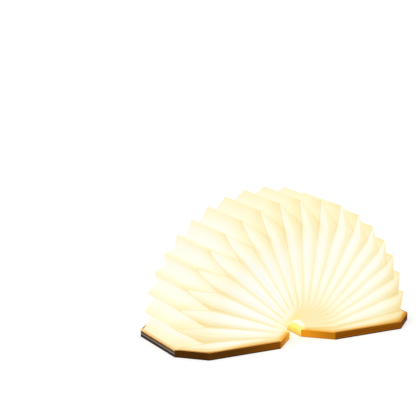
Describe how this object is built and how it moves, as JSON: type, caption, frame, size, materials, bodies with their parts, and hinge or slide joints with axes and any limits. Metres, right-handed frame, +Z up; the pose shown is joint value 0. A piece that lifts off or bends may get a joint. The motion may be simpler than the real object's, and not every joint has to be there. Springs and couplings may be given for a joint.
{
  "type": "folding book lamp",
  "caption": "Folding lamp shaped like a book: octagonal walnut-faced plywood covers joined by a glowing bellows of pleated paper that fans open into a half round.",
  "frame": {"origin": "middle of the gap between the two covers' hinge edges, at the level of the table", "axes": "+X from the base cover to the lid, across the hinge line; +Y along the hinge line, towards the edge with the charging socket; +Z up"},
  "size_m": [0.3044, 0.141, 0.1574],
  "materials": {
    "plywood": "sanded, unvarnished",
    "walnut": "oiled, satin",
    "paper": "matte, translucent",
    "white_plastic": "matte",
    "screw_steel": "satin",
    "magnet_nickel": "polished",
    "socket_steel": "satin",
    "foam": "matte",
    "cell_foil": "satin",
    "circuit": "semi-gloss",
    "white_circuit": "semi-gloss",
    "chip": "matte",
    "led_phosphor": "gloss",
    "red_insulation": "matte",
    "black_insulation": "matte"
  },
  "bodies": {
    "base": {"base_board": "plywood", "base_veneer": "walnut", "pocket_cover": "white_plastic", "cover_screws": "screw_steel", "base_magnets": "magnet_nickel", "cell_pad": "foam", "battery_cell": "cell_foil", "control_board": "circuit", "board_screws": "screw_steel", "charge_socket": "socket_steel", "lid_sensor": "chip", "battery_leads": "red_insulation", "led_board": "white_circuit", "leds": "led_phosphor", "led_leads": "black_insulation", "base_bellows_end": "paper"},
    "leaf_01": {"leaf_01": "paper"},
    "leaf_02": {"leaf_02": "paper"},
    "leaf_03": {"leaf_03": "paper"},
    "leaf_04": {"leaf_04": "paper"},
    "leaf_05": {"leaf_05": "paper"},
    "leaf_06": {"leaf_06": "paper"},
    "leaf_07": {"leaf_07": "paper"},
    "leaf_08": {"leaf_08": "paper"},
    "leaf_09": {"leaf_09": "paper"},
    "leaf_10": {"leaf_10": "paper"},
    "leaf_11": {"leaf_11": "paper"},
    "leaf_12": {"leaf_12": "paper"},
    "leaf_13": {"leaf_13": "paper"},
    "leaf_14": {"leaf_14": "paper"},
    "leaf_15": {"leaf_15": "paper"},
    "leaf_16": {"leaf_16": "paper"},
    "leaf_17": {"leaf_17": "paper"},
    "leaf_18": {"leaf_18": "paper"},
    "lid": {"lid_board": "plywood", "lid_veneer": "walnut", "lid_liner": "white_plastic", "lid_magnets": "magnet_nickel", "sensor_magnet": "magnet_nickel", "lid_bellows_end": "paper"}
  },
  "joints": [
    {"name": "pleat_01", "type": "hinge", "parent": "base", "child": "leaf_01", "pos_m": [-0.01504, 0, 0.00935], "axis": [0, 1, 0], "range_deg": [-9.61, 1], "deforming": ["base_bellows_end", "leaf_01"]},
    {"name": "pleat_02", "type": "hinge", "parent": "leaf_01", "child": "leaf_02", "pos_m": [-0.01408, 0, 0.01134], "axis": [0, 1, 0], "range_deg": [-10.06, 1], "deforming": ["leaf_02"]},
    {"name": "pleat_03", "type": "hinge", "parent": "leaf_02", "child": "leaf_03", "pos_m": [-0.01263, 0, 0.01311], "axis": [0, 1, 0], "range_deg": [-10.72, 1], "deforming": ["leaf_03"]},
    {"name": "pleat_04", "type": "hinge", "parent": "leaf_03", "child": "leaf_04", "pos_m": [-0.01113, 0, 0.01473], "axis": [0, 1, 0], "range_deg": [-11.27, 1], "deforming": ["leaf_04"]},
    {"name": "pleat_05", "type": "hinge", "parent": "leaf_04", "child": "leaf_05", "pos_m": [-0.00973, 0, 0.01632], "axis": [0, 1, 0], "range_deg": [-11.49, 1], "deforming": ["leaf_05"]},
    {"name": "pleat_06", "type": "hinge", "parent": "leaf_05", "child": "leaf_06", "pos_m": [-0.00833, 0, 0.0179], "axis": [0, 1, 0], "range_deg": [-11.4, 1], "deforming": ["leaf_06"]},
    {"name": "pleat_07", "type": "hinge", "parent": "leaf_06", "child": "leaf_07", "pos_m": [-0.00675, 0, 0.01929], "axis": [0, 1, 0], "range_deg": [-11.23, 1], "deforming": ["leaf_07"]},
    {"name": "pleat_08", "type": "hinge", "parent": "leaf_07", "child": "leaf_08", "pos_m": [-0.00485, 0, 0.02022], "axis": [0, 1, 0], "range_deg": [-11.26, 1], "deforming": ["leaf_08"]},
    {"name": "pleat_09", "type": "hinge", "parent": "leaf_08", "child": "leaf_09", "pos_m": [-0.00273, 0, 0.02048], "axis": [0, 1, 0], "range_deg": [-11.61, 1], "deforming": ["leaf_09"]},
    {"name": "pleat_10", "type": "hinge", "parent": "leaf_09", "child": "leaf_10", "pos_m": [-0.00057, 0, 0.0202], "axis": [0, 1, 0], "range_deg": [-12.17, 1], "deforming": ["leaf_10"]},
    {"name": "pleat_11", "type": "hinge", "parent": "leaf_10", "child": "leaf_11", "pos_m": [0.00152, 0, 0.01967], "axis": [0, 1, 0], "range_deg": [-12.63, 1], "deforming": ["leaf_11"]},
    {"name": "pleat_12", "type": "hinge", "parent": "leaf_11", "child": "leaf_12", "pos_m": [0.00355, 0, 0.01912], "axis": [0, 1, 0], "range_deg": [-12.73, 1], "deforming": ["leaf_12"]},
    {"name": "pleat_13", "type": "hinge", "parent": "leaf_12", "child": "leaf_13", "pos_m": [0.00561, 0, 0.01858], "axis": [0, 1, 0], "range_deg": [-12.38, 1], "deforming": ["leaf_13"]},
    {"name": "pleat_14", "type": "hinge", "parent": "leaf_13", "child": "leaf_14", "pos_m": [0.00772, 0, 0.01794], "axis": [0, 1, 0], "range_deg": [-11.73, 1], "deforming": ["leaf_14"]},
    {"name": "pleat_15", "type": "hinge", "parent": "leaf_14", "child": "leaf_15", "pos_m": [0.00972, 0, 0.01699], "axis": [0, 1, 0], "range_deg": [-11.12, 1], "deforming": ["leaf_15"]},
    {"name": "pleat_16", "type": "hinge", "parent": "leaf_15", "child": "leaf_16", "pos_m": [0.01127, 0, 0.01552], "axis": [0, 1, 0], "range_deg": [-10.83, 1], "deforming": ["leaf_16"]},
    {"name": "pleat_17", "type": "hinge", "parent": "leaf_16", "child": "leaf_17", "pos_m": [0.01214, 0, 0.0136], "axis": [0, 1, 0], "range_deg": [-10.94, 1], "deforming": ["leaf_17"]},
    {"name": "pleat_18", "type": "hinge", "parent": "leaf_17", "child": "leaf_18", "pos_m": [0.01245, 0, 0.01148], "axis": [0, 1, 0], "range_deg": [-11.28, 1], "deforming": ["leaf_18"]},
    {"name": "lid_fold", "type": "hinge", "parent": "leaf_18", "child": "lid", "pos_m": [0.0125, 0, 0.00935], "axis": [0, 1, 0], "range_deg": [-9.63, 0], "deforming": ["lid_bellows_end"]}
  ],
  "couplings": [
    {"joint": "pleat_01", "follows": "lid_fold", "ratio": 0.83142},
    {"joint": "pleat_02", "follows": "lid_fold", "ratio": 0.87038},
    {"joint": "pleat_03", "follows": "lid_fold", "ratio": 0.92775},
    {"joint": "pleat_04", "follows": "lid_fold", "ratio": 0.97521},
    {"joint": "pleat_05", "follows": "lid_fold", "ratio": 0.99417},
    {"joint": "pleat_06", "follows": "lid_fold", "ratio": 0.98653},
    {"joint": "pleat_07", "follows": "lid_fold", "ratio": 0.97219},
    {"joint": "pleat_08", "follows": "lid_fold", "ratio": 0.97474},
    {"joint": "pleat_09", "follows": "lid_fold", "ratio": 1.005},
    {"joint": "pleat_10", "follows": "lid_fold", "ratio": 1.0529},
    {"joint": "pleat_11", "follows": "lid_fold", "ratio": 1.0933},
    {"joint": "pleat_12", "follows": "lid_fold", "ratio": 1.1019},
    {"joint": "pleat_13", "follows": "lid_fold", "ratio": 1.071},
    {"joint": "pleat_14", "follows": "lid_fold", "ratio": 1.015},
    {"joint": "pleat_15", "follows": "lid_fold", "ratio": 0.96207},
    {"joint": "pleat_16", "follows": "lid_fold", "ratio": 0.93695},
    {"joint": "pleat_17", "follows": "lid_fold", "ratio": 0.94636},
    {"joint": "pleat_18", "follows": "lid_fold", "ratio": 0.9758}
  ]
}
